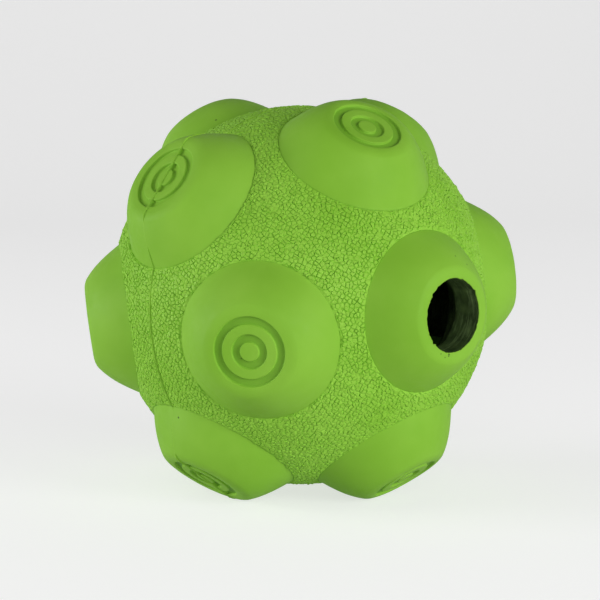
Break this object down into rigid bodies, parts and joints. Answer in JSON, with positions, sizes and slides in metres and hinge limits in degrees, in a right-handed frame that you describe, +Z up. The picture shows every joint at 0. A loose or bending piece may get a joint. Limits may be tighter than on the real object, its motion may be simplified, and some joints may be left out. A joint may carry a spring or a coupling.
{
  "type": "rubber maze treat ball",
  "caption": "Hollow moulded rubber ball with ringed knobs, a treat hole in one knob and a small labyrinth of baffles inside that slows the treats on their way out.",
  "frame": {"origin": "below the ball's centre, at the level of the floor it stands on with three knobs down", "axes": "+Z up, -Y out of the treat hole; the bond line between the two moulded halves lies in the plane y = 0"},
  "size_m": [0.065, 0.0694, 0.0647],
  "materials": {
    "green_rubber": "satin, pebble grain between the knobs, smooth knobs",
    "bond_flash": "satin, trimmed flash",
    "maze_rubber": "matt, as cut"
  },
  "bodies": {
    "root": {"shell_front": "green_rubber", "shell_back": "green_rubber", "seam_bond": "bond_flash", "maze_disc": "maze_rubber", "baffle_front": "maze_rubber", "baffle_front_cross": "maze_rubber", "baffle_back": "maze_rubber", "baffle_back_cross": "maze_rubber"}
  },
  "joints": []
}
